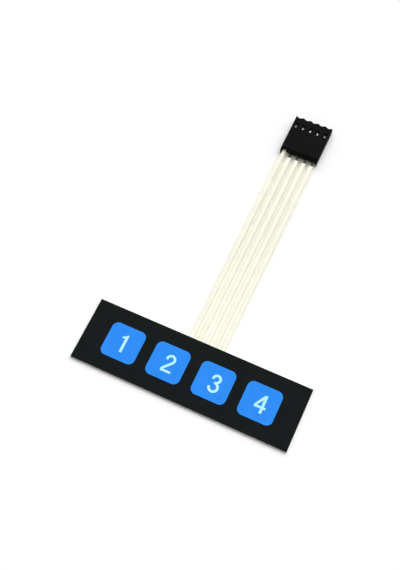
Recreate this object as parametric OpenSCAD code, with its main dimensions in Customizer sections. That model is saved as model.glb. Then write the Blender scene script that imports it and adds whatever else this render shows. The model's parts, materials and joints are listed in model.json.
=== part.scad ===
// Four-key membrane keypad: a laminated panel, its flat tail and a five-way socket.
// The origin is the centre of the panel's back face.
// X runs along the row of keys, Y towards the socket and Z out of the keys' faces.

/* [Panel] */
// Length of the panel along the row of keys
panel_w = 69; // [64:0.5:90]
// Height of the panel across the row of keys
panel_h = 20.2; // [18.5:0.1:30]

/* [Keys] */
// Distance from one key's centre to the next
key_pitch = 14.7; // [12.5:0.1:15.5]
// Side of a key's printed square
key_size = 10.95; // [8:0.05:12]
// Corner radius of a key's printed square
key_corner_r = 1.9; // [0.5:0.1:3.5]

/* [Layers] */
// Thickness of the paper liner on the back
liner_t = 0.1; // [0.05:0.01:0.2]
// Thickness of the mounting adhesive
mount_adhesive_t = 0.05; // [0.03:0.01:0.15]
// Thickness of the film that carries the circuit and runs on as the tail
circuit_t = 0.125; // [0.075:0.005:0.2]
// Thickness of the printed silver
silver_t = 0.03; // [0.01:0.005:0.05]
// Thickness of the spacer that holds the two films apart
spacer_t = 0.15; // [0.1:0.01:0.3]
// Thickness of the film that carries the shorting pads
contact_t = 0.1; // [0.075:0.005:0.2]
// Thickness of the adhesive under the overlay
overlay_adhesive_t = 0.05; // [0.03:0.01:0.15]
// Thickness of the overlay film
overlay_t = 0.2; // [0.1:0.01:0.4]
// Thickness of the coloured print on the overlay's face
print_t = 0.025; // [0.01:0.005:0.05]

/* [Switch cells] */
// Diameter of the spacer's hole under a key
cell_d = 9.4; // [8:0.1:10.2]
// Clear ring between a shorting pad and its hole
pad_clear = 0.5; // [0.2:0.1:1]
// Thickness of a shorting pad
pad_t = 0.03; // [0.01:0.005:0.05]
// Width of one printed finger
finger_w = 0.6; // [0.4:0.05:0.7]
// Clear gap between neighbouring fingers
finger_gap = 0.5; // [0.3:0.05:0.6]
// Height of a key's printed comb
comb_h = 6.4; // [4:0.1:7]
// Width of a printed line on the panel
line_w = 0.7; // [0.4:0.05:0.8]
// Clear gap between neighbouring lines on the panel
line_gap = 0.6; // [0.3:0.05:0.7]
// Bare film between the outermost line and the panel's edge
edge_margin = 0.8; // [0.5:0.1:1.2]
// Width of the air channel that joins the holes
vent_w = 0.8; // [0.4:0.1:2]

/* [Tail] */
// Free length of the tail from the panel's edge to the socket
tail_len = 70.6; // [30:0.1:200]
// Sideways place of the tail from the panel's centre
tail_x = 0.5; // [-4:0.1:4]
// Width of a printed line on the tail
trace_w = 1.2; // [0.8:0.05:1.5]
// Bare film beside the outermost line on the tail
tail_edge = 0.57; // [0.3:0.01:2]
// Bare film beside the outermost line on the tongue in the socket
tongue_edge = 0.07; // [0.03:0.01:0.1]
// Bare film past the ends of the lines
silver_stop = 0.3; // [0.1:0.1:0.6]
// Flat length at each end of the tail's rise
bend_margin = 3; // [2:0.5:8]
// Distance of the tongue's shoulders behind the socket
shoulder_gap = 0.3; // [0.1:0.1:1]

/* [Socket housing] */
// Distance from one contact to the next
contact_pitch = 2.54; // [2.4:0.01:3]
// Width of a contact's cell
bay_w = 1.7; // [1.5:0.05:1.8]
// Height of a contact's cell
bay_h = 1.5; // [1.3:0.05:1.6]
// Floor under the cells
bay_floor = 0.5; // [0.3:0.05:0.6]
// Roof over the cells
bay_roof = 0.5; // [0.4:0.05:1]
// Wall between the mating face and the cells
front_wall = 1; // [0.7:0.1:1.5]
// Side of the square entry for a pin
pin_hole = 1; // [0.8:0.05:1.2]
// Width of the scalloped lead-in at an entry
lead_in_w = 1.9; // [1.4:0.1:2.3]
// Depth of the scalloped lead-in at an entry
lead_in_depth = 0.4; // [0.2:0.05:0.6]
// Distance from the mating face to the middle of the windows
window_v = 3.45; // [3.2:0.05:4.2]
// Length of a window
window_len = 1.7; // [1.3:0.1:2]
// Width of a window
window_w = 1.2; // [1:0.05:1.3]
// Floor under the slot for the tail
slot_floor = 0.95; // [0.8:0.05:1.1]
// Length of the cells behind the step in the terminals
slot_lead = 0.25; // [0.1:0.05:1]
// Gap between the slot's inner end and the tail's tongue
tongue_stop = 0.3; // [0.1:0.1:1]
// Free height in the slot over the crimps
slot_clear = 0.1; // [0.05:0.05:0.3]
// Clear gap between the tail's tongue and a side wall
tongue_clear = 0.1; // [0.05:0.05:0.15]
// Length of the sloped rear edge on top
slope_len = 1.3; // [0.5:0.1:3]
// Drop of the sloped rear edge on top
slope_drop = 0.55; // [0.2:0.05:0.6]
// Length of the notch in the roof's rear edge over the first contact
notch_len = 0.95; // [0.4:0.05:1.2]
// Width of that notch
notch_w = 2.1; // [1:0.05:2.4]
// Distance from the rear edge of the roof to that of the floor
floor_set = 1.1; // [0.5:0.05:1.5]

/* [Terminals] */
// Thickness of the sheet metal
stock_t = 0.15; // [0.1:0.01:0.2]
// Clear gap round a terminal in its cell
terminal_fit = 0.05; // [0.02:0.01:0.1]
// Length of the box that takes the pin
box_len = 4.9; // [4.5:0.1:7]
// Length of the step from the box up to the tail
step_len = 0.8; // [0.5:0.1:2]
// Side of the square pin that the terminal takes
pin_size = 0.64; // [0.5:0.01:0.7]
// Squeeze of the spring on that pin
pin_squeeze = 0.08; // [0.02:0.01:0.15]
// Gap on each side of the locking tongue in its window
lance_side = 0.4; // [0.2:0.05:0.45]
// Distance of the locking tongue's tip under the housing's top
lance_below = 0.1; // [0.02:0.02:0.3]
// Inside radius of one curled crimp lobe
lobe_inner_r = 0.1; // [0.05:0.01:0.15]
// Gap between a crimp's two lobes
lobe_gap = 0.04; // [0.02:0.01:0.08]
// Length of one crimp along the tail
crimp_len = 1.1; // [0.8:0.05:1.2]
// Distance from the ends of the lines to the first crimp
crimp_lead = 0.15; // [0.1:0.05:1]
// Distance from one crimp to the next along the tail
crimp_step = 1.95; // [1.6:0.05:4]
// Distance of the last crimp behind the housing
crimp_out = 0.05; // [0:0.05:0.3]
// How much further in the first contact's crimps sit
first_inset = 2.4; // [2.4:0.1:3]
// Clear gap round a crimp's leg in the film
pierce_fit = 0.02; // [0.01:0.01:0.04]

/* [Hidden] */
$fn = 64;
key_count = 4;
contact_count = 5;
fingers = 6;
crimp_count = 3;
bend_steps = 28;
cut = 0.5;

// Levels of the layers, from the table up
adhesive_z = liner_t;
circuit_z = adhesive_z + mount_adhesive_t;
silver_z = circuit_z + circuit_t;
spacer_z = silver_z;
contact_z = spacer_z + spacer_t;
overlay_adhesive_z = contact_z + contact_t;
overlay_z = overlay_adhesive_z + overlay_adhesive_t;
print_z = overlay_z + overlay_t;

// Levels in the socket
housing_t = bay_floor + bay_h + bay_roof;
pin_z = bay_floor + bay_h/2;
box_z = bay_floor + terminal_fit;
box_h = bay_h - 2*terminal_fit;
strip_z = slot_floor + terminal_fit;
tongue_z = strip_z + stock_t;
crimp_z = tongue_z + circuit_t + silver_t;
lobe_r = stock_t + lobe_inner_r;
slot_top = crimp_z + lobe_r + slot_clear;
climb = tongue_z - circuit_z;

// Widths in the socket and on the tail
lines_w = (contact_count - 1)*contact_pitch + trace_w;
tail_w = lines_w + 2*tail_edge;
tongue_w = lines_w + 2*tongue_edge;
slot_w = tongue_w + 2*tongue_clear;
housing_w = contact_count*contact_pitch;
box_w = bay_w - 2*terminal_fit;
lance_w = window_w - 2*lance_side;
leg_out = lobe_gap/2 + 2*lobe_r;
lead_in_r = (lead_in_w*lead_in_w/4 + lead_in_depth*lead_in_depth)/(2*lead_in_depth);

// Distances from the socket's mating face, counted towards the tail
box_v = front_wall + terminal_fit;
step_v = box_v + box_len;
slot_v = step_v + step_len + slot_lead;
tongue_v = slot_v + tongue_stop;
silver_v = tongue_v + silver_stop;
function crimp_v(i, n) = silver_v + crimp_lead + (i == 1 ? 0 : first_inset) + (n - 1)*crimp_step;
housing_len = crimp_v(contact_count, crimp_count) - crimp_out;

// Places along the tail
panel_y = panel_h/2;
rear_y = panel_y + tail_len;
mate_y = rear_y + housing_len;
bend_y0 = panel_y + bend_margin;
bend_y1 = rear_y - bend_margin;

// Printed lines: lane 0 lies nearest the panel's edge
lane_step = line_w + line_gap;
outer_lane = edge_margin + line_w/2;
comb_w = fingers*finger_w + (fingers - 1)*finger_gap;
function lane_y(n) = panel_y - outer_lane - n*lane_step;
function key_x(k) = (k - (key_count + 1)/2)*key_pitch;
function contact_x(i) = tail_x + (i - (contact_count + 1)/2)*contact_pitch;

// Height of the tail over its level in the panel, a smooth rise between two flats
function rise(y) = y <= bend_y0 ? 0 : y >= bend_y1 ? climb
    : climb*(1 - cos(180*(y - bend_y0)/(bend_y1 - bend_y0)))/2;

module sheet(z, t) {
    translate([-panel_w/2, -panel_h/2, z]) cube([panel_w, panel_h, t]);
}

module at_keys() {
    for (k = [1:key_count]) translate([key_x(k), 0, 0]) children();
}

module key_square() {
    flat = key_size - 2*key_corner_r;
    square([key_size, flat], center = true);
    square([flat, key_size], center = true);
    for (x = [-1, 1]) for (y = [-1, 1]) translate([x*flat/2, y*flat/2]) circle(key_corner_r);
}

// A strip of the tail from y0 to y1, between two heights over the film's underside
module tail_strip(x, w, low, high, y0, y1) {
    bend = [for (s = [0:bend_steps]) bend_y0 + (bend_y1 - bend_y0)*s/bend_steps];
    ys = concat([y0], bend, [y1]);
    last = len(ys) - 1;
    under = [for (y = ys) [y, circuit_z + rise(y) + low]];
    over = [for (s = [0:last]) [ys[last - s], circuit_z + rise(ys[last - s]) + high]];
    translate([x - w/2, 0, 0]) rotate([90, 0, 90]) linear_extrude(w) polygon(concat(under, over));
}

// Moves a shape from the mating face's own axes, where Y counts towards the tail
module from_mating_face() {
    translate([0, mate_y, 0]) mirror([0, 1, 0]) children();
}

// Slits that the crimps' legs make in the tail
module pierced() {
    leg = stock_t + 2*pierce_fit;
    from_mating_face()
        for (i = [1:contact_count]) for (n = [1:crimp_count]) for (side = [-1, 1])
            translate([contact_x(i) + side*(leg_out - stock_t/2) - leg/2, crimp_v(i, n) - pierce_fit, strip_z])
                cube([leg, crimp_len + 2*pierce_fit, crimp_z - strip_z + cut]);
}

module across(x0, x1, y) {
    translate([min(x0, x1) - line_w/2, y - line_w/2]) square([abs(x1 - x0) + line_w, line_w]);
}

module along(x, y0, y1) {
    translate([x - line_w/2, min(y0, y1) - line_w/2]) square([line_w, abs(y1 - y0) + line_w]);
}

// Half of a key's comb: a bus with every second finger, side 1 above and side -1 below
module comb(k, side) {
    reach = comb_h - finger_w - finger_gap;
    first = side > 0 ? 0 : 1;
    translate([key_x(k) - comb_w/2, 0]) {
        translate([0, side > 0 ? comb_h/2 - finger_w : -comb_h/2]) square([comb_w, finger_w]);
        for (f = [first:2:fingers - 1])
            translate([f*(finger_w + finger_gap), side > 0 ? comb_h/2 - reach : -comb_h/2])
                square([finger_w, reach]);
    }
}

// From the panel's edge in to a lane, as wide as the tail's line
module entry(i, lane) {
    low = lane_y(lane) - line_w/2;
    translate([contact_x(i) - trace_w/2, low]) square([trace_w, panel_y - low]);
}

module key_lines(k) {
    lane = k == 1 || k == key_count ? 1 : 2;
    entry(k + 1, lane);
    across(contact_x(k + 1), key_x(k), lane_y(lane));
    along(key_x(k), lane_y(lane), comb_h/2 - finger_w/2);
    comb(k, 1);
}

module common_lines() {
    side_x = -(panel_w/2 - outer_lane);
    bottom_y = -lane_y(0);
    entry(1, 0);
    across(side_x, contact_x(1), lane_y(0));
    along(side_x, bottom_y, lane_y(0));
    across(side_x, key_x(key_count), bottom_y);
    for (k = [1:key_count]) {
        along(key_x(k), bottom_y, finger_w/2 - comb_h/2);
        comb(k, -1);
    }
}

module panel_lines() {
    common_lines();
    for (k = [1:key_count]) key_lines(k);
}

// One printed line's run down the tail to the crimps
module tail_line(i) {
    tail_strip(contact_x(i), trace_w, circuit_t, circuit_t + silver_t, panel_y - cut, mate_y - silver_v);
}

module release_liner() {
    color("#f2efe4") sheet(0, liner_t);
}

module mount_adhesive() {
    color("#e9e6d2") sheet(adhesive_z, mount_adhesive_t);
}

module circuit_film() {
    shoulder_y = rear_y - shoulder_gap;
    color("#f4f1dc", 0.6) difference() {
        union() {
            sheet(circuit_z, circuit_t);
            tail_strip(tail_x, tail_w, 0, circuit_t, panel_y - cut, shoulder_y);
            translate([tail_x - tongue_w/2, shoulder_y - cut, tongue_z])
                cube([tongue_w, mate_y - tongue_v - shoulder_y + cut, circuit_t]);
        }
        pierced();
    }
}

module trace_common() {
    color("#e4e0d0") difference() {
        union() {
            translate([0, 0, silver_z]) linear_extrude(silver_t) common_lines();
            tail_line(1);
        }
        pierced();
    }
}

module trace_key(k) {
    color("#e4e0d0") difference() {
        union() {
            translate([0, 0, silver_z]) linear_extrude(silver_t) key_lines(k);
            tail_line(k + 1);
        }
        pierced();
    }
}

module spacer() {
    color("#eceade", 0.6) difference() {
        sheet(spacer_z, spacer_t);
        at_keys() translate([0, 0, spacer_z - cut]) cylinder(d = cell_d, h = spacer_t + 2*cut);
        translate([key_x(1), -vent_w/2, spacer_z - cut])
            cube([key_x(key_count) - key_x(1), vent_w, spacer_t + 2*cut]);
        translate([0, 0, spacer_z - cut]) linear_extrude(silver_t + cut) panel_lines();
    }
}

module pad(k) {
    color("#3a3a3a") translate([key_x(k), 0, contact_z - pad_t]) cylinder(d = cell_d - 2*pad_clear, h = pad_t);
}

module contact_film() {
    color("#f4f1dc", 0.6) sheet(contact_z, contact_t);
}

module overlay_adhesive() {
    color("#e9e6d2") sheet(overlay_adhesive_z, overlay_adhesive_t);
}

module overlay_film() {
    color("#2a2a2a") sheet(overlay_z, overlay_t);
}

module print_panel() {
    color("#1c1c1c") difference() {
        sheet(print_z, print_t);
        at_keys() translate([0, 0, print_z - cut]) linear_extrude(print_t + 2*cut) key_square();
    }
}

module print_key(k) {
    color("#2e8fff") translate([key_x(k), 0, print_z]) linear_extrude(print_t) key_square();
}

// Side view of the housing, with its sloped rear edge
module housing_block() {
    side = [[0, 0], [housing_len, 0], [housing_len, housing_t - slope_drop],
        [housing_len - slope_len, housing_t], [0, housing_t]];
    translate([tail_x - housing_w/2, 0, 0]) rotate([90, 0, 90]) linear_extrude(housing_w) polygon(side);
}

// Everything that one contact takes out of the housing
module bay() {
    translate([-bay_w/2, front_wall, bay_floor]) cube([bay_w, slot_v - front_wall + terminal_fit, bay_h]);
    translate([-pin_hole/2, -cut, pin_z - pin_hole/2]) cube([pin_hole, front_wall + 2*cut, pin_hole]);
    translate([0, lead_in_depth - lead_in_r, -cut]) cylinder(r = lead_in_r, h = housing_t + 2*cut);
    translate([-window_w/2, window_v - window_len/2, pin_z]) cube([window_w, window_len, housing_t]);
}

module socket_housing() {
    color("#1b1b1b") from_mating_face() difference() {
        housing_block();
        for (i = [1:contact_count]) translate([contact_x(i), 0, 0]) bay();
        translate([tail_x - slot_w/2, slot_v, slot_floor])
            cube([slot_w, housing_len - slot_v + cut, slot_top - slot_floor]);
        translate([tail_x - slot_w/2, housing_len - notch_len, slot_floor])
            cube([notch_w, notch_len + cut, housing_t]);
        translate([tail_x - slot_w/2, housing_len - floor_set, -cut])
            cube([slot_w, floor_set + cut, cut + slot_floor + slot_clear]);
    }
}

// A bent strip of sheet metal: its underside's points in side view, and its width
module leaf(points, w) {
    last = len(points) - 1;
    over = [for (s = [0:last]) points[last - s] + [0, stock_t]];
    translate([-w/2, 0, 0]) rotate([90, 0, 90]) linear_extrude(w) polygon(concat(points, over));
}

// The box that takes the pin, with its spring, its floor rib and its locking tongue
module receptacle() {
    inner_w = box_w - 2*stock_t;
    opening_w = min(window_w, inner_w);
    floor_z = box_z + stock_t;
    roof_z = box_z + box_h - stock_t;
    lance_v0 = window_v - window_len/2 - 2*stock_t;
    lance_v1 = window_v + window_len/2 - terminal_fit;
    spring_z = pin_z + pin_size/2 - pin_squeeze;
    rib_z = pin_z - pin_size/2 - stock_t;
    nose = box_len/8;
    difference() {
        translate([-box_w/2, box_v, box_z]) cube([box_w, box_len, box_h]);
        translate([-inner_w/2, box_v - cut, floor_z]) cube([inner_w, box_len + 2*cut, roof_z - floor_z]);
        translate([-opening_w/2, lance_v0 + stock_t, floor_z])
            cube([opening_w, lance_v1 - lance_v0 - stock_t, box_h]);
    }
    leaf([[box_v + box_len, roof_z], [box_v + box_len - nose, roof_z], [box_v + 3*nose, spring_z],
        [box_v + nose, spring_z + stock_t]], inner_w - 2*terminal_fit);
    leaf([[box_v + nose, box_z], [box_v + 2*nose, rib_z], [box_v + 6*nose, rib_z],
        [box_v + 7*nose, box_z]], inner_w/2);
    leaf([[lance_v0, roof_z], [lance_v0 + 2*stock_t, roof_z], [lance_v1, housing_t - lance_below - stock_t]],
        lance_w);
}

// Two legs that pierce the tail and curl inwards on to the printed line
module crimp() {
    leg_h = crimp_z - strip_z;
    rotate([90, 0, 0]) mirror([0, 0, 1]) linear_extrude(crimp_len)
        for (side = [0, 1]) mirror([side, 0]) {
            translate([leg_out - stock_t, -leg_h]) square([stock_t, leg_h]);
            translate([leg_out - lobe_r, 0]) difference() {
                circle(lobe_r);
                circle(lobe_r - stock_t);
                translate([-lobe_r - cut, -lobe_r - cut]) square([2*(lobe_r + cut), lobe_r + cut]);
            }
        }
}

module terminal(i) {
    end_v = crimp_v(i, crimp_count) + crimp_len;
    color("#b8b2a0") from_mating_face() translate([contact_x(i), 0, 0]) {
        receptacle();
        leaf([[step_v - stock_t, box_z], [step_v, box_z], [step_v + step_len, strip_z], [end_v, strip_z]],
            2*leg_out);
        for (n = [1:crimp_count]) translate([0, crimp_v(i, n), crimp_z]) crimp();
    }
}

release_liner();
mount_adhesive();
circuit_film();
trace_common();
for (k = [1:key_count]) trace_key(k);
spacer();
for (k = [1:key_count]) pad(k);
contact_film();
overlay_adhesive();
overlay_film();
print_panel();
for (k = [1:key_count]) print_key(k);
socket_housing();
for (i = [1:contact_count]) terminal(i);
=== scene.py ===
# %% [markdown]
# # A four-key membrane keypad
#
# The real thing is a stack of thin printed films with a flat tail and a pin socket. The CAD part
# already has every film, printed line and terminal at its true size, so this lesson dresses it: it
# sets up the photograph's view and light, gives each layer its finish, prints the numerals and
# rounds the moulded and stamped edges.

# %% Load the imported part
import json
import math

import bmesh
import bpy
from mathutils import Matrix, Vector

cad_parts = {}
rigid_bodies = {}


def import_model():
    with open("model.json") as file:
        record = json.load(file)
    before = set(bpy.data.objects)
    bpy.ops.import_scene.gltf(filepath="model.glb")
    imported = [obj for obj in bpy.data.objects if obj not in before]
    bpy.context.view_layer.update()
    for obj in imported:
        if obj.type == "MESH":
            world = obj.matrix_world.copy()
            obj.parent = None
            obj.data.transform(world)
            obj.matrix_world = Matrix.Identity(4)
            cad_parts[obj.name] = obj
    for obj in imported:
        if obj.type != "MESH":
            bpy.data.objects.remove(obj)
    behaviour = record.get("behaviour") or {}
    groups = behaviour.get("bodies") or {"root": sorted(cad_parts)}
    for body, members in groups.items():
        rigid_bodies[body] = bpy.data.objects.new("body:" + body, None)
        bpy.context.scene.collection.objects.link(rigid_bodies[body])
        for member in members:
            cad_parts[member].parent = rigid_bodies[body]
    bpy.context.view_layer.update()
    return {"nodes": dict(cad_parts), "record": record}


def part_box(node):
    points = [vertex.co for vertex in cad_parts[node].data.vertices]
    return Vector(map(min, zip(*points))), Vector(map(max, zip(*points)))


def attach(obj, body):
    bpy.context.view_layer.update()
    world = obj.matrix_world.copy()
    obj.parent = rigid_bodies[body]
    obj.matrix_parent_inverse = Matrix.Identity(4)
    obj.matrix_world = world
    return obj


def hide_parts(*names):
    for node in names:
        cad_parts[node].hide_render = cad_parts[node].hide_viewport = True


for leftover in list(bpy.data.objects):
    bpy.data.objects.remove(leftover)
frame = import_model()
scene = bpy.context.scene
MM = 0.001
print("nodes loaded:", len(frame["nodes"]))

# %% [markdown]
# ## Camera
#
# A product photograph like this one is taken from above and a little to the right. The eye, the
# aim and the lens were worked out from the panel's corners and the keys' corners, whose sizes are
# known, so the camera is placed in the part's own frame and nothing has to be fitted by eye. The
# picture is upright, so the lens is stated for the sensor's height.

# %% Camera
EYE = Vector((42.87, -76.86, 255.68)) * MM
AIM = Vector((-9.54, 26.94, 0.0)) * MM
ROLL = math.radians(-2.035)
LENS = 58.06
SENSOR_HEIGHT = 36.0

camera_data = bpy.data.cameras.new("photo_camera")
camera_data.sensor_fit = "VERTICAL"
camera_data.sensor_height = SENSOR_HEIGHT
camera_data.lens = LENS
camera_data.clip_start = 5 * MM
camera = bpy.data.objects.new("photo_camera", camera_data)
upright = (AIM - EYE).to_track_quat("-Z", "Y").to_matrix().to_4x4()
camera.matrix_world = Matrix.Translation(EYE) @ upright @ Matrix.Rotation(ROLL, 4, "Z")
scene.collection.objects.link(camera)
scene.camera = camera
scene.view_settings.view_transform = "Standard"
print("camera distance, mm:", round((AIM - EYE).length / MM, 1))

# %% [markdown]
# ## Colours and nodes
#
# Screen colours are written as hex values, as a printer would read them off a swatch, but a shader
# works in linear light, so one function turns the one into the other. A second one adds a node
# with its settings and its links, which keeps each finish below down to a list of what it is made
# of. Blender's noise mostly stays between 0.35 and 0.65, so a colour ramp between those two shows
# the whole way from its first swatch to its second.

# %% Colour and node helpers
NOISE_LOW, NOISE_HIGH = 0.35, 0.65


def linear(swatch):
    """An sRGB swatch such as "2E8AF0" as linear red, green and blue, with an alpha of 1."""
    shares = [int(swatch[i : i + 2], 16) / 255 for i in (0, 2, 4)]
    light = [s / 12.92 if s <= 0.04045 else ((s + 0.055) / 1.055) ** 2.4 for s in shares]
    return (*light, 1.0)


def add_node(tree, kind, inputs=None, stops=(), **settings):
    """One node. An input is a plain value, or (node, output) for a link.

    The stops of a colour ramp are pairs of a position and a swatch.
    """
    node = tree.nodes.new(kind)
    for name, value in settings.items():
        setattr(node, name, value)
    for socket, value in (inputs or {}).items():
        if isinstance(value, tuple) and isinstance(value[0], bpy.types.Node):
            tree.links.new(value[0].outputs[value[1]], node.inputs[socket])
        else:
            node.inputs[socket].default_value = value
    for i, (position, swatch) in enumerate(stops):
        node.color_ramp.elements[i].position = position
        node.color_ramp.elements[i].color = linear(swatch)
    return node


def new_finish(name):
    """An empty material, its node tree and the place that its patterns are measured from."""
    finish = bpy.data.materials.new(name)
    finish.use_nodes = True
    finish.node_tree.nodes.clear()
    place = add_node(finish.node_tree, "ShaderNodeTexCoord")
    return finish, finish.node_tree, (place, "Object")


def per_metre(size_mm):
    """A noise scale whose blotches are about that many millimetres across."""
    return 1 / (size_mm * MM)


print("swatch 808080 in linear light:", round(linear("808080")[0], 3))

# %% [markdown]
# ## Softbox
#
# The keypad lies under one large softbox that leans over from behind it, as the soft shadow on the
# panel's near side shows. The shadows between the tail's lines are softer still from side to side,
# so the softbox is wider than it is high: two suns with broad discs, side by side. A sun's
# strength is worked out from the share of white that flat white paper is to get from it.

# %% Softbox
SUN_SHARE = 0.38
SUN_DISC = math.radians(62)


def add_sun(name, source):
    """A round soft light from that direction."""
    data = bpy.data.lights.new(name, "SUN")
    data.angle = SUN_DISC
    direction = Vector(source).normalized()
    data.energy = SUN_SHARE * math.pi / direction.z
    sun = bpy.data.objects.new(name, data)
    sun.rotation_euler = direction.to_track_quat("Z", "Y").to_euler()
    scene.collection.objects.link(sun)


add_sun("softbox_left", (-0.23, 0.61, 0.77))
add_sun("softbox_right", (0.31, 0.61, 0.77))

# %% [markdown]
# ## Fill and background
#
# The world adds a plain fill from all sides. With the suns it lights the paper to white and no
# further, so a swatch renders about as it is written, and the shadows stay as dark as they fall.
#
# Behind the table, in reflections and through the clear film the world has to look as white as the
# paper. A Light Path node knows such rays from those that only gather light, so they see full
# white.

# %% World
FILL = 0.28
WHITE = linear("FFFFFF")

world = bpy.data.worlds.new("studio_fill")
world.use_nodes = True
tree = world.node_tree
tree.nodes.clear()
path = add_node(tree, "ShaderNodeLightPath")
seen_or_mirrored = add_node(
    tree,
    "ShaderNodeMath",
    {0: (path, "Is Camera Ray"), 1: (path, "Is Glossy Ray")},
    operation="MAXIMUM",
)
looked_at = add_node(
    tree,
    "ShaderNodeMath",
    {0: (seen_or_mirrored, "Value"), 1: (path, "Is Transmission Ray")},
    operation="MAXIMUM",
)
strength = add_node(
    tree,
    "ShaderNodeMapRange",
    {"Value": (looked_at, "Value"), "To Min": FILL, "To Max": 1.0},
)
background = add_node(
    tree,
    "ShaderNodeBackground",
    {"Color": WHITE, "Strength": (strength, "Result")},
)
add_node(tree, "ShaderNodeOutputWorld", {"Surface": (background, "Background")})
scene.world = world
print("light on flat paper, share of white:", round(2 * SUN_SHARE + FILL, 2))

# %% [markdown]
# ## Table
#
# The table is a large sheet of matte white paper with the faint mottle of its fibres, drawn at 0.6
# mm. It lies a hundredth of a millimetre below the part, so that no two faces share a place. It is
# no part of the keypad.

# %% Table
FIBRE_MM = 0.6
FLOOR_HALF = 1.5
FLOOR_DROP = 0.01 * MM

paper, tree, place = new_finish("white_table_paper")
fibre = add_node(
    tree,
    "ShaderNodeTexNoise",
    {"Vector": place, "Scale": per_metre(FIBRE_MM), "Detail": 4.0},
)
colour = add_node(
    tree,
    "ShaderNodeValToRGB",
    {"Fac": (fibre, "Fac")},
    stops=((NOISE_LOW, "FAFAFA"), (NOISE_HIGH, "FCFCFC")),
)
shader = add_node(
    tree,
    "ShaderNodeBsdfPrincipled",
    {"Base Color": (colour, "Color"), "Roughness": 0.9, "Specular IOR Level": 0.1},
)
add_node(tree, "ShaderNodeOutputMaterial", {"Surface": (shader, "BSDF")})

sides = ((-1, -1), (1, -1), (1, 1), (-1, 1))
corners = [(x * FLOOR_HALF, y * FLOOR_HALF, -FLOOR_DROP) for x, y in sides]
floor_mesh = bpy.data.meshes.new("table")
floor_mesh.from_pydata(corners, [], [(0, 1, 2, 3)])
floor_mesh.materials.append(paper)
floor = bpy.data.objects.new("table", floor_mesh)
scene.collection.objects.link(floor)
print("table width, m:", floor.dimensions.x)

# %% [markdown]
# ## Screen-printed inks with a velvet face
#
# The face is polyester with a fine velvet texture, screen printed in black and blue, with the
# numerals in white. Such ink is opaque and almost without gloss, and the texture breaks up what
# gloss there is. The real grain is about 0.1 mm, finer than a pixel of the picture, so it is drawn
# at 0.3 mm. A broad, faint unevenness, 3 mm across, stands for the ink's thickness.

# %% Velvet inks
VELVET_MM = 0.3
VELVET_DEPTH = 0.02 * MM
CLOUD_MM = 3.0
finishes = {}


def velvet_ink(slot, name, thin, thick, gloss):
    """An opaque screen-printed ink on a velvet film, from its thin to its thick swatch."""
    finish, tree, place = new_finish(name)
    cloud = add_node(
        tree,
        "ShaderNodeTexNoise",
        {"Vector": place, "Scale": per_metre(CLOUD_MM), "Detail": 5.0},
    )
    grain = add_node(
        tree,
        "ShaderNodeTexNoise",
        {"Vector": place, "Scale": per_metre(VELVET_MM), "Detail": 3.0},
    )
    colour = add_node(
        tree,
        "ShaderNodeValToRGB",
        {"Fac": (cloud, "Fac")},
        stops=((NOISE_LOW, thin), (NOISE_HIGH, thick)),
    )
    rough = add_node(
        tree,
        "ShaderNodeMapRange",
        {"Value": (grain, "Fac"), "To Min": 0.55, "To Max": 0.8},
    )
    relief = add_node(
        tree,
        "ShaderNodeBump",
        {"Height": (grain, "Fac"), "Strength": 0.25, "Distance": VELVET_DEPTH},
    )
    shader = add_node(
        tree,
        "ShaderNodeBsdfPrincipled",
        {
            "Base Color": (colour, "Color"),
            "Roughness": (rough, "Result"),
            "Specular IOR Level": gloss,
            "Normal": (relief, "Normal"),
        },
    )
    add_node(tree, "ShaderNodeOutputMaterial", {"Surface": (shader, "BSDF")})
    finishes[slot] = finish


velvet_ink("black_print", "black_screen_ink_on_velvet_film", "151919", "181C1C", 0.02)
velvet_ink("blue_print", "blue_screen_ink_on_velvet_film", "2E8AF0", "328EF6", 0.02)
velvet_ink("white_print", "white_screen_ink", "B2F0FB", "C0F4FC", 0.05)
print("inks:", sorted(finishes))

# %% [markdown]
# ## Clear polyester film
#
# The tail is clear polyester, a tenth of a millimetre thick and a little yellow. Glass-like
# refraction would do for a thick block, but in so thin a sheet nothing visibly bends, and
# refraction would stop the lamps' light on its way to the paper. So the film is a see-through
# shader with a faint tint, the share of red, green and blue that passes one face, and a mirror
# gloss that grows towards grazing angles as a real film's does. Fine wear, in patches of 1.2 mm,
# changes the gloss, and a trace of haze keeps the film visible from the side.

# %% Clear film
FACE_TINT = (0.998, 0.996, 0.958, 1.0)
HAZE = 0.03
PATCH_MM = 1.2
GLOSS_HEAD_ON, GLOSS_GRAZING = 0.012, 0.4
GLOSS_POWER = 5.0

finish, tree, place = new_finish("clear_polyester_film")
through = add_node(tree, "ShaderNodeBsdfTransparent", {"Color": FACE_TINT})
dust = add_node(
    tree,
    "ShaderNodeTexNoise",
    {"Vector": place, "Scale": per_metre(PATCH_MM), "Detail": 6.0},
)
colour = add_node(
    tree,
    "ShaderNodeValToRGB",
    {"Fac": (dust, "Fac")},
    stops=((NOISE_LOW, "EDE9D6"), (NOISE_HIGH, "F7F4E4")),
)
haze = add_node(tree, "ShaderNodeBsdfDiffuse", {"Color": (colour, "Color")})
hazy = add_node(
    tree,
    "ShaderNodeMixShader",
    {"Fac": HAZE, 1: (through, "BSDF"), 2: (haze, "BSDF")},
)
rough = add_node(
    tree,
    "ShaderNodeMapRange",
    {"Value": (dust, "Fac"), "To Min": 0.06, "To Max": 0.22},
)
gloss = add_node(
    tree,
    "ShaderNodeBsdfGlossy",
    {"Color": WHITE, "Roughness": (rough, "Result")},
)
edge_on = add_node(tree, "ShaderNodeLayerWeight", {"Blend": 0.5})
grazing = add_node(
    tree,
    "ShaderNodeMath",
    {0: (edge_on, "Facing"), 1: GLOSS_POWER},
    operation="POWER",
)
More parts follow.
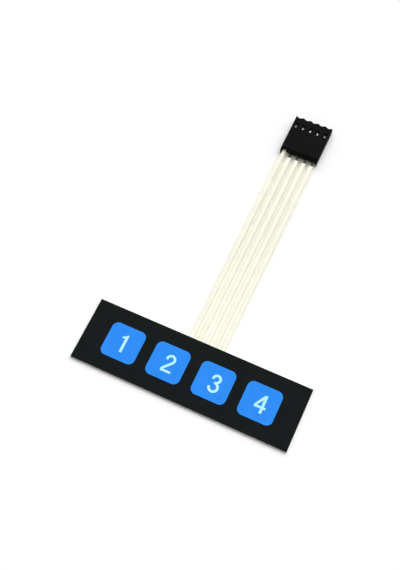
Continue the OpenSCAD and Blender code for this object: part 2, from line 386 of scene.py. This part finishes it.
mirror = add_node(
    tree,
    "ShaderNodeMapRange",
    {"Value": (grazing, "Value"), "To Min": GLOSS_HEAD_ON, "To Max": GLOSS_GRAZING},
)
film = add_node(
    tree,
    "ShaderNodeMixShader",
    {"Fac": (mirror, "Result"), 1: (hazy, "Shader"), 2: (gloss, "BSDF")},
)
add_node(tree, "ShaderNodeOutputMaterial", {"Surface": (film, "Shader")})
finishes["clear_film"] = finish
print("blue share through the film and back:", round(FACE_TINT[2] ** 4, 3))

# %% [markdown]
# ## Silver ink
#
# The five lines on the tail are silver ink, screen printed and lacquered. The flakes lie every
# way, so the ink is a pale cream grey with a broad satin gloss rather than a mirror. The mesh of
# the screen leaves a fine weave in it, at 0.15 mm on the real part and drawn at 0.35 mm, and the
# tone drifts a little every 5 mm.

# %% Silver ink
WEAVE_MM = 0.35
WEAVE_DEPTH = 0.02 * MM
DRIFT_MM = 5.0
SILVER = "F9F9E9"

finish, tree, place = new_finish("lacquered_silver_ink")
flakes = add_node(
    tree,
    "ShaderNodeTexNoise",
    {"Vector": place, "Scale": per_metre(WEAVE_MM), "Detail": 4.0},
)
drift = add_node(
    tree,
    "ShaderNodeTexNoise",
    {"Vector": place, "Scale": per_metre(DRIFT_MM), "Detail": 2.0},
)
colour = add_node(
    tree,
    "ShaderNodeValToRGB",
    {"Fac": (drift, "Fac")},
    stops=((NOISE_LOW, "F4F4E4"), (NOISE_HIGH, SILVER)),
)
rough = add_node(
    tree,
    "ShaderNodeMapRange",
    {"Value": (flakes, "Fac"), "To Min": 0.5, "To Max": 0.7},
)
weave = add_node(
    tree,
    "ShaderNodeBump",
    {"Height": (flakes, "Fac"), "Strength": 0.2, "Distance": WEAVE_DEPTH},
)
shader = add_node(
    tree,
    "ShaderNodeBsdfPrincipled",
    {
        "Base Color": (colour, "Color"),
        "Roughness": (rough, "Result"),
        "Specular IOR Level": 0.15,
        "Normal": (weave, "Normal"),
    },
)
add_node(tree, "ShaderNodeOutputMaterial", {"Surface": (shader, "BSDF")})
finishes["silver_ink"] = finish
print("silver ink, brightest:", [round(c, 2) for c in linear(SILVER)[:3]])

# %% [markdown]
# ## The films and adhesives inside the panel
#
# Only their cut edges show, as thin bands in the panel's side, but each is what it is: milky
# spacer film, tacky acrylic adhesive, carbon ink, the overlay's dark film and the paper on the
# back. They share one recipe, a soft mottle with a matching change of gloss, with the mottle's
# size taken from each material.

# %% Inner layers
MOTTLE_DEPTH = 0.01 * MM


def layer_stock(slot, name, swatches, mottle_mm, roughness, specular):
    """A cut sheet or coating whose colour and gloss vary by a soft mottle of that size."""
    finish, tree, place = new_finish(name)
    mottle = add_node(
        tree,
        "ShaderNodeTexNoise",
        {"Vector": place, "Scale": per_metre(mottle_mm), "Detail": 4.0},
    )
    colour = add_node(
        tree,
        "ShaderNodeValToRGB",
        {"Fac": (mottle, "Fac")},
        stops=((NOISE_LOW, swatches[0]), (NOISE_HIGH, swatches[1])),
    )
    rough = add_node(
        tree,
        "ShaderNodeMapRange",
        {"Value": (mottle, "Fac"), "To Min": roughness[0], "To Max": roughness[1]},
    )
    relief = add_node(
        tree,
        "ShaderNodeBump",
        {"Height": (mottle, "Fac"), "Strength": 0.2, "Distance": MOTTLE_DEPTH},
    )
    shader = add_node(
        tree,
        "ShaderNodeBsdfPrincipled",
        {
            "Base Color": (colour, "Color"),
            "Roughness": (rough, "Result"),
            "Specular IOR Level": specular,
            "Normal": (relief, "Normal"),
        },
    )
    add_node(tree, "ShaderNodeOutputMaterial", {"Surface": (shader, "BSDF")})
    finishes[slot] = finish


for stock in (
    ("spacer_film", "milky_spacer_polyester", ("E3E1D8", "ECEAE2"), 0.8, (0.3, 0.5), 0.5),
    ("adhesive", "acrylic_adhesive_coat", ("DCD8C4", "E7E3D1"), 0.5, (0.2, 0.45), 0.5),
    ("carbon_pad", "screen_printed_carbon", ("1F1F20", "2B2B2D"), 0.2, (0.6, 0.85), 0.3),
    ("overlay_film", "dark_overlay_polyester", ("1B1C1D", "242526"), 0.4, (0.4, 0.6), 0.2),
    ("liner_paper", "calendered_release_paper", ("EAE4D3", "F3EEDF"), 0.7, (0.45, 0.7), 0.3),
):
    layer_stock(*stock)
print("finishes so far:", sorted(finishes))

# %% [markdown]
# ## Moulded black plastic
#
# The socket is glass-filled nylon, moulded in a spark-eroded tool. That gives a fine, even grain
# with a low satin gloss, at about 0.1 mm on the real part and drawn at 0.25 mm. Plastic that flows
# along the mould leaves faint streaks down its length, about 1 mm wide, so a stretched noise
# shifts the gloss a little.

# %% Black moulding
SPARK_MM = 0.25
SPARK_DEPTH = 0.02 * MM
FLOW_MM = 1.0
FLOW_STRETCH = (1.0, 0.15, 1.0)

finish, tree, place = new_finish("black_nylon_spark_texture")
grain = add_node(
    tree,
    "ShaderNodeTexNoise",
    {"Vector": place, "Scale": per_metre(SPARK_MM), "Detail": 3.0},
)
along = add_node(tree, "ShaderNodeMapping", {"Vector": place, "Scale": FLOW_STRETCH})
flow = add_node(
    tree,
    "ShaderNodeTexNoise",
    {"Vector": (along, "Vector"), "Scale": per_metre(FLOW_MM), "Detail": 3.0},
)
colour = add_node(
    tree,
    "ShaderNodeValToRGB",
    {"Fac": (flow, "Fac")},
    stops=((NOISE_LOW, "040504"), (NOISE_HIGH, "070806")),
)
rough = add_node(
    tree,
    "ShaderNodeMapRange",
    {"Value": (flow, "Fac"), "To Min": 0.42, "To Max": 0.6},
)
spark = add_node(
    tree,
    "ShaderNodeBump",
    {"Height": (grain, "Fac"), "Strength": 0.3, "Distance": SPARK_DEPTH},
)
shader = add_node(
    tree,
    "ShaderNodeBsdfPrincipled",
    {
        "Base Color": (colour, "Color"),
        "Roughness": (rough, "Result"),
        "Specular IOR Level": 0.03,
        "Normal": (spark, "Normal"),
    },
)
add_node(tree, "ShaderNodeOutputMaterial", {"Surface": (shader, "BSDF")})
finishes["black_moulding"] = finish
print("moulding:", finish.name)

# %% [markdown]
# ## Painted shade on the tin plate, and the rubbed streak
#
# The terminals are stamped from rolled bronze strip and tin plated. Most of the plate is painted
# dark: painted shade for the inside of the boxes, seen through the windows, and for the crimps
# behind the housing. Only the locking tongues, which scrape along the housing as a terminal is
# pushed in, keep the bright plate, in a rubbed streak down the middle.
#
# Painting that mask by hand would tie it to one mesh, and the place alone can tell it. The tongues
# are the only metal that stands higher than the terminals' boxes, so the height says where the
# painted shade ends and a streak begins, and the distance from the nearest contact's middle says
# how wide it is. Some tongues scrape harder than others, so a broad noise, 5.2 mm across, sets how
# bright each one is.

# %% Rubbed streaks
# Plate below the first height is painted dark, a painted shade for the boxes and crimps; above the
# second the streak is bright.
SHADE_BELOW, BRIGHT_ABOVE = 2.14 * MM, 2.24 * MM
STREAK = 0.06 * MM
WEAR_MM = 5.2
low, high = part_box("terminal_3")
MIDDLE = (low.x + high.x) / 2
PITCH = low.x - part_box("terminal_2")[0].x

finish, tree, place = new_finish("tin_plated_bronze_strip")
wear = add_node(
    tree,
    "ShaderNodeTexNoise",
    {"Vector": place, "Scale": per_metre(WEAR_MM), "Detail": 0.0},
)
most = add_node(
    tree,
    "ShaderNodeMapRange",
    {"Value": (wear, "Fac"), "From Min": 0.35, "From Max": 0.55, "To Min": 0.2, "To Max": 0.9},
)
split = add_node(tree, "ShaderNodeSeparateXYZ", {"Vector": place})
sideways = add_node(
    tree,
    "ShaderNodeMath",
    {0: (split, "X"), 1: MIDDLE},
    operation="SUBTRACT",
)
aside = add_node(
    tree,
    "ShaderNodeMath",
    {0: (sideways, "Value"), 1: PITCH / 2},
    operation="PINGPONG",
)
streak = add_node(
    tree,
    "ShaderNodeMapRange",
    {
        "Value": (aside, "Value"),
        "From Min": STREAK,
        "From Max": 2 * STREAK,
        "To Min": (most, "Result"),
        "To Max": 0.0,
    },
)
shade_and_rub = add_node(
    tree,
    "ShaderNodeMapRange",
    {
        "Value": (split, "Z"),
        "From Min": SHADE_BELOW,
        "From Max": BRIGHT_ABOVE,
        "To Min": 0.0,
        "To Max": (streak, "Result"),
    },
)
print("contacts' pitch, mm:", round(PITCH / MM, 3))

# %% [markdown]
# ## Tin-plated strip
#
# With that mask the plate goes from painted shade to bright plate: darker to lighter, rough to
# smooth, and from partly to wholly metallic. A grey tint on the gloss keeps the plate that is
# painted dark as shade from turning white at its edges. The rolling lines along the strip are a
# few hundredths of a millimetre apart on the real part and drawn at 0.15 mm. They vary the mask a
# little everywhere.

# %% Tin plate
ROLLING_MM = 0.15
ROLLING_STRETCH = (1.0, 0.1, 1.0)
ROLLING_SHARE = 0.12

along = add_node(tree, "ShaderNodeMapping", {"Vector": place, "Scale": ROLLING_STRETCH})
rolled = add_node(
    tree,
    "ShaderNodeTexNoise",
    {"Vector": (along, "Vector"), "Scale": per_metre(ROLLING_MM), "Detail": 4.0},
)
bright = add_node(
    tree,
    "ShaderNodeMath",
    {0: (rolled, "Fac"), 1: ROLLING_SHARE, 2: (shade_and_rub, "Result")},
    operation="MULTIPLY_ADD",
)
# The dark swatch is painted shade; the light one is the bright tin.
colour = add_node(
    tree,
    "ShaderNodeValToRGB",
    {"Fac": (bright, "Value")},
    stops=((0.0, "1C1B18"), (1.0, "D8D6CE")),
)
rough = add_node(
    tree,
    "ShaderNodeMapRange",
    {"Value": (bright, "Value"), "To Min": 0.5, "To Max": 0.25},
)
metal = add_node(
    tree,
    "ShaderNodeMapRange",
    {"Value": (bright, "Value"), "To Min": 0.7, "To Max": 1.0},
)
shader = add_node(
    tree,
    "ShaderNodeBsdfPrincipled",
    {
        "Base Color": (colour, "Color"),
        "Metallic": (metal, "Result"),
        "Roughness": (rough, "Result"),
        "Specular IOR Level": 0.1,
        "Specular Tint": linear("6A6860"),
    },
)
add_node(tree, "ShaderNodeOutputMaterial", {"Surface": (shader, "BSDF")})
finishes["tin_plate"] = finish
print("plate:", finish.name)

# %% [markdown]
# ## Dress the CAD layers
#
# The record says which finish each CAD node takes, so one loop puts the finishes above on all of
# them. The films, prints and lines keep their CAD shape, which is already the real one.

# %% Finishes on the nodes
subparts = frame["record"]["subparts"]
for part in subparts:
    frame["nodes"][part["node"]].material_slots[0].material = finishes[part["material_slot"]]
print("dressed:", len(subparts), "nodes")

# %% [markdown]
# ## Numerals
#
# The keys carry the numbers 1 to 4 in white ink, 5.7 mm high with a stroke of 0.75 mm. A text
# object would bring a typeface's own shapes, and these are simple enough to draw: arcs, soft bends
# and straight strokes, in millimetres from the key's centre. Three helpers give their curves.

# %% Curves for the numerals
STROKE = 0.75
FOOT, CAP = -2.97, 2.72


def arc(centre, radius, start, end, steps=28):
    """Points on a circle from one angle to another, in degrees."""
    turns = [math.radians(start + (end - start) * i / steps) for i in range(steps + 1)]
    return [(centre[0] + radius * math.cos(t), centre[1] + radius * math.sin(t)) for t in turns]


def bend(start, pull, end, steps=10):
    """Points on a soft curve from start to end, drawn towards pull."""
    points = []
    for i in range(steps + 1):
        s = i / steps
        weights = (1 - s) ** 2, 2 * s * (1 - s), s * s
        points.append(
            tuple(
                weights[0] * a + weights[1] * p + weights[2] * b
                for a, p, b in zip(start, pull, end)
            )
        )
    return points


def cut_angle(radius, drop):
    """Where a level cut that much below the centre meets a circle's left side, in degrees."""
    return 180 + math.degrees(math.asin(drop / radius))


print("numeral height, mm:", round(CAP - FOOT, 2))

# %% [markdown]
# The 1 is a stem with a bent flag. The 2 is a bowl that leaves its circle at a slant and runs
# straight down to a bar, so the slant's angle says where the arcs end, and its two lines are
# followed to the top and to the left end of the bar.

# %% Outlines of the 1 and the 2
STEM_1 = (-0.13, 0.69)
FLAG_TIP, FLAG_TOP, FLAG_FOOT = -1.04, 1.95, 1.38
one = [(STEM_1[1], FOOT), (STEM_1[1], CAP)]
one += bend((0.15, CAP), (-0.1, 2.0), (FLAG_TIP, FLAG_TOP))
one += [(FLAG_TIP, FLAG_FOOT), (STEM_1[0], FLAG_FOOT), (STEM_1[0], FOOT)]

BOWL, BOWL_R, BOWL_CUT = (0.43, 1.18), 1.55, 0.30
SLANT = 48
BAR_TOP, BAR_LEFT, BAR_RIGHT = -2.27, -1.37, 1.95
bowl_in = BOWL_R - STROKE
slant = (-math.cos(math.radians(SLANT)), -math.sin(math.radians(SLANT)))
outer = arc(BOWL, BOWL_R, cut_angle(BOWL_R, BOWL_CUT), SLANT - 90)
inner = arc(BOWL, bowl_in, SLANT - 90, cut_angle(bowl_in, BOWL_CUT))
reach = (outer[-1][1] - BAR_TOP) / -slant[1]
left_reach = (inner[0][0] - BAR_LEFT) / -slant[0]
two = outer + [(outer[-1][0] + reach * slant[0], BAR_TOP)]
two += [(BAR_RIGHT, BAR_TOP), (BAR_RIGHT, FOOT), (BAR_LEFT, FOOT)]
two += [(BAR_LEFT, inner[0][1] + left_reach * slant[1])] + inner
print("outline points of 1 and 2:", len(one), len(two))

# %% [markdown]
# The 3 is two circles that meet at a waist, with a short stub between their counters. The 4 is
# all straight, and its counter is an outline of its own.

# %% Outlines of the 3 and the 4
UPPER, UPPER_R, UPPER_CUT = (0.48, 1.28), 1.48, 0.26
LOWER, LOWER_R = (0.44, -1.36), 1.69
WAIST_UPPER, WAIST_LOWER = -54.65, 57.98
END_OUTER, END_INNER = -182.7, -185.3
COUNTER_END = 65
STUB_X, STUB_TOP, STUB_FOOT = 0.15, 0.42, -0.27
upper_in, lower_in = UPPER_R - STROKE, LOWER_R - STROKE
three = arc(UPPER, UPPER_R, cut_angle(UPPER_R, UPPER_CUT), WAIST_UPPER)
three += arc(LOWER, LOWER_R, WAIST_LOWER, END_OUTER)[1:]
lower_counter = arc(LOWER, lower_in, END_INNER, COUNTER_END)
three += lower_counter
three += bend(lower_counter[-1], (0.6, STUB_FOOT), (STUB_X, STUB_FOOT))[1:]
upper_counter = arc(UPPER, upper_in, -COUNTER_END, cut_angle(upper_in, UPPER_CUT))
three += bend((STUB_X, STUB_TOP), (0.55, STUB_TOP), upper_counter[0])[:-1]
three += upper_counter

STEM_4, STEM_FOOT = (0.68, 1.50), -2.93
ARM, ARM_TOP, ARM_FOOT = (-1.44, 2.12), -0.78, -1.52
four = [(STEM_4[1], CAP), (0.64, CAP), (ARM[0], -0.75), (ARM[0], ARM_FOOT)]
four += [(STEM_4[0], ARM_FOOT), (STEM_4[0], STEM_FOOT)]
four += [(STEM_4[1], STEM_FOOT), (STEM_4[1], ARM_FOOT)]
four += [(ARM[1], ARM_FOOT), (ARM[1], ARM_TOP), (STEM_4[1], ARM_TOP)]
four_counter = [(STEM_4[0], 1.28), (STEM_4[0], ARM_TOP), (-0.65, ARM_TOP)]
print("outline points of 3 and 4:", len(three), len(four) + len(four_counter))

# %% [markdown]
# The outlines become meshes here. A fill that takes several outlines at once leaves the counter of
# the 4 open, and pushing the filled face up by the ink's thickness closes the solid. It lies on
# the key's print, so each numeral is a closed mesh with a real edge.

# %% Numerals on the keys
INK = 0.012 * MM


def print_numeral(name, key, outlines):
    """Fills the outlines on that key's face and raises them by the ink's thickness."""
    low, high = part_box(key)
    centre = (low + high) / 2
    shape = bmesh.new()
    for outline in outlines:
        points = [
            shape.verts.new((centre.x + x * MM, centre.y + y * MM, high.z)) for x, y in outline
        ]
        for i, point in enumerate(points):
            shape.edges.new((point, points[(i + 1) % len(points)]))
    bmesh.ops.triangle_fill(shape, use_beauty=True, use_dissolve=False, edges=shape.edges[:])
    raised = bmesh.ops.extrude_face_region(shape, geom=shape.faces[:], use_keep_orig=True)
    moved = [v for v in raised["geom"] if isinstance(v, bmesh.types.BMVert)]
    bmesh.ops.translate(shape, vec=(0, 0, INK), verts=moved)
    bmesh.ops.recalc_face_normals(shape, faces=shape.faces[:])
    # The order of the new faces differs from run to run, so they are sorted by their place.
    places = sorted(shape.faces, key=lambda face: face.calc_center_median()[:])
    rank = {face: i for i, face in enumerate(places)}
    shape.faces.sort(key=rank.get)
    mesh = bpy.data.meshes.new(name)
    shape.to_mesh(mesh)
    shape.free()
    mesh.materials.append(finishes["white_print"])
    numeral = bpy.data.objects.new(name, mesh)
    scene.collection.objects.link(numeral)
    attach(numeral, "root")
    return numeral


drawings = {"1": [one], "2": [two], "3": [three], "4": [four, four_counter]}
for digit, outlines in drawings.items():
    numeral = print_numeral("numeral_" + digit, "print_key_" + digit, outlines)
    print(numeral.name, "faces:", len(numeral.data.polygons))

# %% [markdown]
# ## Socket housing
#
# A moulding has no razor edges: the tool's corners leave a radius of a few hundredths of a
# millimetre, and that line of light along each edge is what makes it read as plastic. The CAD
# solid is sharp, so a copy of it is welded, its flat facets are joined into whole faces, and a
# bevel rounds the edges.

# %% Housing
EDGE_R = 0.07 * MM
WELD = 0.0005 * MM
FLAT = math.radians(1)
SHARP = math.radians(35)


def welded_copy(node, name):
    """A copy of a CAD node with its corners welded and its flat facets joined."""
    shape = bmesh.new()
    shape.from_mesh(frame["nodes"][node].data)
    bmesh.ops.remove_doubles(shape, verts=shape.verts[:], dist=WELD)
    bmesh.ops.dissolve_limit(
        shape, angle_limit=FLAT, verts=shape.verts[:], edges=shape.edges[:]
    )
    mesh = bpy.data.meshes.new(name)
    shape.to_mesh(mesh)
    shape.free()
    piece = bpy.data.objects.new(name, mesh)
    scene.collection.objects.link(piece)
    return piece


def round_edges(piece, radius):
    """A small round on every sharp edge."""
    edges = piece.modifiers.new("tool_radius", "BEVEL")
    edges.width = radius
    edges.segments = 2
    edges.limit_method = "ANGLE"
    edges.angle_limit = SHARP
    edges.use_clamp_overlap = True


housing = welded_copy("socket_housing", "moulded_housing")
housing.data.materials.append(finishes["black_moulding"])
round_edges(housing, EDGE_R)
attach(housing, "root")
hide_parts("socket_housing")
print("housing faces before rounding:", len(housing.data.polygons))

# %% [markdown]
# ## Terminals
#
# Terminals come off one strip, so contacts 2 to 5 are the same stamping at a 2.54 mm pitch. That
# is work for Geometry Nodes: one rounded terminal goes in, a line of points at the pitch carries
# copies of it, and they are made real and given their plate.

# %% Node tree of the row
row = bpy.data.node_groups.new("terminal_row", "GeometryNodeTree")
row.is_modifier = True
sockets = {}
for label, kind in (
    ("Terminal", "NodeSocketGeometry"),
    ("Count", "NodeSocketInt"),
    ("Pitch", "NodeSocketFloat"),
    ("Plate", "NodeSocketMaterial"),
):
    sockets[label] = row.interface.new_socket(label, in_out="INPUT", socket_type=kind)
row.interface.new_socket("Row", in_out="OUTPUT", socket_type="NodeSocketGeometry")

given = add_node(row, "NodeGroupInput")
step = add_node(row, "ShaderNodeCombineXYZ", {"X": (given, "Pitch")})
line = add_node(
    row,
    "GeometryNodeMeshLine",
    {"Count": (given, "Count"), "Offset": (step, "Vector")},
)
copies = add_node(
    row,
    "GeometryNodeInstanceOnPoints",
    {"Points": (line, "Mesh"), "Instance": (given, "Terminal")},
)
real = add_node(row, "GeometryNodeRealizeInstances", {"Geometry": (copies, "Instances")})
plated = add_node(
    row,
    "GeometryNodeSetMaterial",
    {"Geometry": (real, "Geometry"), "Material": (given, "Plate")},
)
add_node(row, "NodeGroupOutput", {"Row": (plated, "Geometry")})
print("inputs of the row:", list(sockets))

# %% [markdown]
# The tree works on the second terminal, and its result is kept as one plain mesh. The first
# contact is crimped further in, so it is another stamping and is rounded by itself.

# %% Terminals
COUNT = 4
STAMPED_R = 0.05 * MM

pattern = welded_copy("terminal_2", "terminal_pattern")
round_edges(pattern, STAMPED_R)
repeat = pattern.modifiers.new("terminal_row", "NODES")
repeat.node_group = row
repeat[sockets["Count"].identifier] = COUNT
repeat[sockets["Pitch"].identifier] = PITCH
repeat[sockets["Plate"].identifier] = finishes["tin_plate"]

evaluated = pattern.evaluated_get(bpy.context.evaluated_depsgraph_get())
row_mesh = bpy.data.meshes.new_from_object(evaluated)
bpy.data.objects.remove(pattern)
terminals = bpy.data.objects.new("terminals_2_to_5", row_mesh)
scene.collection.objects.link(terminals)
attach(terminals, "root")
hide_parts("terminal_2", "terminal_3", "terminal_4", "terminal_5")

first = welded_copy("terminal_1", "first_terminal")
first.data.materials.append(finishes["tin_plate"])
round_edges(first, STAMPED_R)
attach(first, "root")
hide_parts("terminal_1")
print("terminal row faces:", len(row_mesh.polygons))
